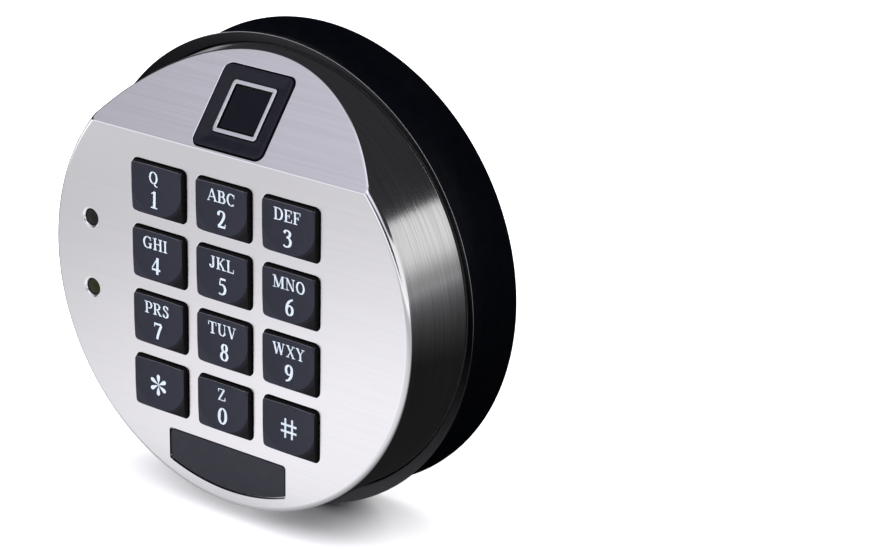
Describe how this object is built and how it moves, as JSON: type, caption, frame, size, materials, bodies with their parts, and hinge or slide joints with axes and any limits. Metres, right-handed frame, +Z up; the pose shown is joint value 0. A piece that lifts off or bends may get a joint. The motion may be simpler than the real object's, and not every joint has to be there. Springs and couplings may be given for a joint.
{
  "type": "fingerprint lock entry unit",
  "caption": "Round door-mounted lock entry unit with a satin metal front, a dished rubber key pad, a fingerprint reader on a sloped facet, signal lamps and a waisted black base ring.",
  "frame": {"origin": "middle of the flat rear face that rests on the door", "axes": "+Y points into the door, the face looks along -Y, +Z is up the face and +X is to its right"},
  "size_m": [0.1018, 0.0319, 0.1018],
  "materials": {
    "brushed_metal": "satin",
    "silver_trim": "satin",
    "steel_screw": "plain",
    "black_abs": "gloss",
    "key_rubber": "satin",
    "bezel_black": "satin",
    "inlay_black": "matte",
    "sensor_coating": "satin",
    "seal_rubber": "matte",
    "silicone": "matte",
    "board_green": "satin",
    "chip_black": "matte",
    "socket_white": "matte",
    "lamp_dark": "gloss",
    "lamp_green": "gloss",
    "battery_wrap": "satin",
    "foam": "matte",
    "sleeve_red": "satin",
    "sleeve_black": "satin",
    "flex_film": "satin"
  },
  "bodies": {
    "case": {"front_housing": "brushed_metal", "inlay_plate": "inlay_black", "sensor_bezel": "bezel_black", "sensor_frame": "silver_trim", "sensor_pad": "sensor_coating", "sensor_board": "board_green", "sensor_clamp": "steel_screw", "clamp_screw_left": "steel_screw", "clamp_screw_right": "steel_screw", "sensor_flex": "flex_film", "key_mat": "silicone", "main_board": "board_green", "board_screw_1": "steel_screw", "board_screw_2": "steel_screw", "board_screw_3": "steel_screw", "board_screw_4": "steel_screw", "lamp_upper": "lamp_dark", "lamp_lower": "lamp_green", "buzzer": "chip_black", "control_chip": "chip_black", "flex_socket": "socket_white", "lock_socket": "socket_white", "battery": "battery_wrap", "battery_clip": "chip_black", "battery_lead_red": "sleeve_red", "battery_lead_black": "sleeve_black", "battery_pad": "foam", "base_ring": "black_abs", "seal_ring": "seal_rubber", "back_plate": "black_abs", "cable_grommet": "seal_rubber", "housing_screw_1": "steel_screw", "housing_screw_2": "steel_screw", "housing_screw_3": "steel_screw", "housing_screw_4": "steel_screw"},
    "key_1": {"key_1": "key_rubber"},
    "key_2": {"key_2": "key_rubber"},
    "key_3": {"key_3": "key_rubber"},
    "key_4": {"key_4": "key_rubber"},
    "key_5": {"key_5": "key_rubber"},
    "key_6": {"key_6": "key_rubber"},
    "key_7": {"key_7": "key_rubber"},
    "key_8": {"key_8": "key_rubber"},
    "key_9": {"key_9": "key_rubber"},
    "key_star": {"key_star": "key_rubber"},
    "key_0": {"key_0": "key_rubber"},
    "key_hash": {"key_hash": "key_rubber"}
  },
  "joints": [
    {"name": "press_1", "type": "slide", "parent": "case", "child": "key_1", "axis": [0, 1, 0], "range_m": [0, 0.001], "stiffness_N_per_m": 600, "springref_m": -0.001},
    {"name": "press_2", "type": "slide", "parent": "case", "child": "key_2", "axis": [0, 1, 0], "range_m": [0, 0.001], "stiffness_N_per_m": 600, "springref_m": -0.001},
    {"name": "press_3", "type": "slide", "parent": "case", "child": "key_3", "axis": [0, 1, 0], "range_m": [0, 0.001], "stiffness_N_per_m": 600, "springref_m": -0.001},
    {"name": "press_4", "type": "slide", "parent": "case", "child": "key_4", "axis": [0, 1, 0], "range_m": [0, 0.001], "stiffness_N_per_m": 600, "springref_m": -0.001},
    {"name": "press_5", "type": "slide", "parent": "case", "child": "key_5", "axis": [0, 1, 0], "range_m": [0, 0.001], "stiffness_N_per_m": 600, "springref_m": -0.001},
    {"name": "press_6", "type": "slide", "parent": "case", "child": "key_6", "axis": [0, 1, 0], "range_m": [0, 0.001], "stiffness_N_per_m": 600, "springref_m": -0.001},
    {"name": "press_7", "type": "slide", "parent": "case", "child": "key_7", "axis": [0, 1, 0], "range_m": [0, 0.001], "stiffness_N_per_m": 600, "springref_m": -0.001},
    {"name": "press_8", "type": "slide", "parent": "case", "child": "key_8", "axis": [0, 1, 0], "range_m": [0, 0.001], "stiffness_N_per_m": 600, "springref_m": -0.001},
    {"name": "press_9", "type": "slide", "parent": "case", "child": "key_9", "axis": [0, 1, 0], "range_m": [0, 0.001], "stiffness_N_per_m": 600, "springref_m": -0.001},
    {"name": "press_star", "type": "slide", "parent": "case", "child": "key_star", "axis": [0, 1, 0], "range_m": [0, 0.001], "stiffness_N_per_m": 600, "springref_m": -0.001},
    {"name": "press_0", "type": "slide", "parent": "case", "child": "key_0", "axis": [0, 1, 0], "range_m": [0, 0.001], "stiffness_N_per_m": 600, "springref_m": -0.001},
    {"name": "press_hash", "type": "slide", "parent": "case", "child": "key_hash", "axis": [0, 1, 0], "range_m": [0, 0.001], "stiffness_N_per_m": 600, "springref_m": -0.001}
  ]
}
